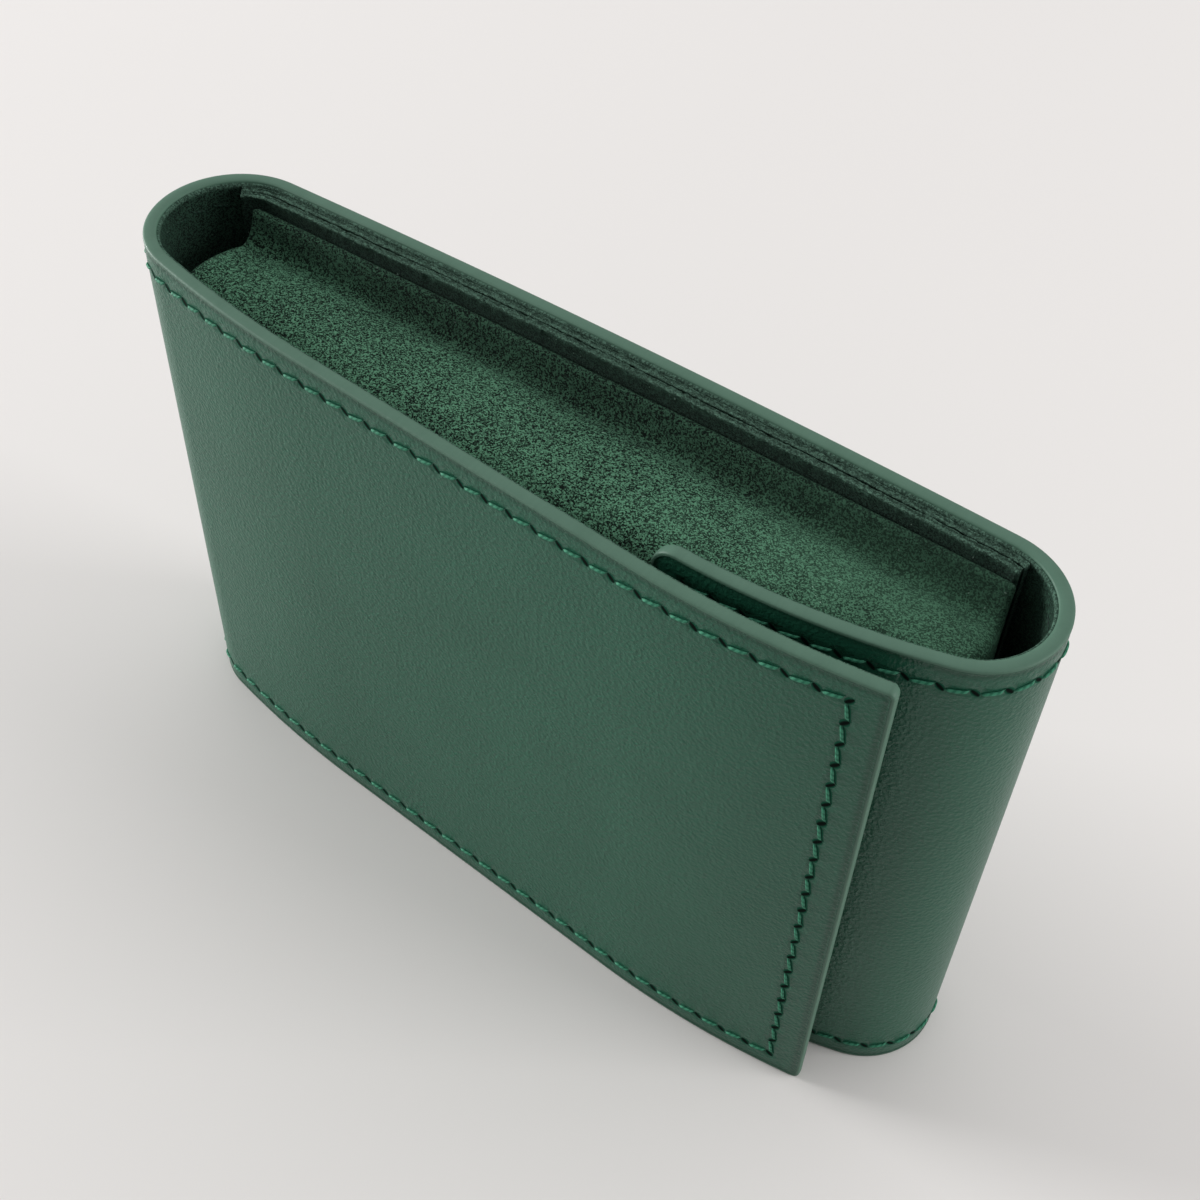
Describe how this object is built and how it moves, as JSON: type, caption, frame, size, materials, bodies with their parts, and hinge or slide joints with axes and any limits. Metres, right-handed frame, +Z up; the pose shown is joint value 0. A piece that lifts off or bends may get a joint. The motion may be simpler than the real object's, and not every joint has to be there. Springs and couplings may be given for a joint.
{
  "type": "watch pouch",
  "caption": "Standing leather pouch for a wrist watch: a lined strip wrapped round a lift-out suede pillow, with overlapping front flaps on a hidden press stud.",
  "frame": {"origin": "middle of the pouch's footprint, on the surface that its lower edge stands on", "axes": "+X along the pouch towards the end that the inner flap comes round, +Y from the flaps to the back wall, +Z up"},
  "size_m": [0.1214, 0.0294, 0.08],
  "materials": {
    "leather": "satin",
    "suede": "matte",
    "board": "matte",
    "foam": "matte",
    "snap": "satin"
  },
  "bodies": {
    "wrap": {"back_leather": "leather", "back_lining": "suede", "panel_rear_suede": "suede", "panel_board": "board", "panel_front_suede": "suede"},
    "left_end_rear": {"left_end_rear_leather": "leather", "left_end_rear_lining": "suede"},
    "left_end_front": {"left_end_front_leather": "leather", "left_end_front_lining": "suede"},
    "outer_flap": {"outer_flap_leather": "leather", "outer_flap_lining": "suede", "snap_cap": "snap", "snap_socket": "snap"},
    "right_end_rear": {"right_end_rear_leather": "leather", "right_end_rear_lining": "suede"},
    "right_end_front": {"right_end_front_leather": "leather", "right_end_front_lining": "suede"},
    "inner_flap": {"inner_flap_leather": "leather", "inner_flap_lining": "suede", "snap_post": "snap", "snap_stud": "snap"},
    "pillow": {"pillow_core": "foam", "pillow_sleeve": "suede", "pillow_left_end": "suede", "pillow_right_end": "suede"}
  },
  "joints": [
    {"name": "left_fold_rear", "type": "hinge", "parent": "wrap", "child": "left_end_rear", "pos_m": [-0.05521, 0.01236, 0.04], "axis": [0, 0, -1], "range_deg": [0, 30]},
    {"name": "left_fold_middle", "type": "hinge", "parent": "left_end_rear", "child": "left_end_front", "pos_m": [-0.06067, 0.00386, 0.04], "axis": [0, 0, -1], "range_deg": [0, 30]},
    {"name": "left_fold_front", "type": "hinge", "parent": "left_end_front", "child": "outer_flap", "pos_m": [-0.05681, -0.00547, 0.04], "axis": [0, 0, -1], "range_deg": [0, 30]},
    {"name": "right_fold_rear", "type": "hinge", "parent": "wrap", "child": "right_end_rear", "pos_m": [0.05538, 0.0125, 0.04], "axis": [0, 0, 1], "range_deg": [0, 20]},
    {"name": "right_fold_middle", "type": "hinge", "parent": "right_end_rear", "child": "right_end_front", "pos_m": [0.06061, 0.00482, 0.04], "axis": [0, 0, 1], "range_deg": [0, 20]},
    {"name": "right_fold_front", "type": "hinge", "parent": "right_end_front", "child": "inner_flap", "pos_m": [0.05753, -0.00395, 0.04], "axis": [0, 0, 1], "range_deg": [0, 20]},
    {"name": "pillow_slide", "type": "slide", "parent": "wrap", "child": "pillow", "axis": [0, 0, 1], "range_m": [0, 0.085]}
  ],
  "couplings": [
    {"joint": "left_fold_middle", "follows": "left_fold_rear", "ratio": 1},
    {"joint": "left_fold_front", "follows": "left_fold_rear", "ratio": 1},
    {"joint": "right_fold_rear", "follows": "left_fold_rear", "ratio": 0.6666},
    {"joint": "right_fold_middle", "follows": "left_fold_rear", "ratio": 0.6666},
    {"joint": "right_fold_front", "follows": "left_fold_rear", "ratio": 0.6666}
  ]
}
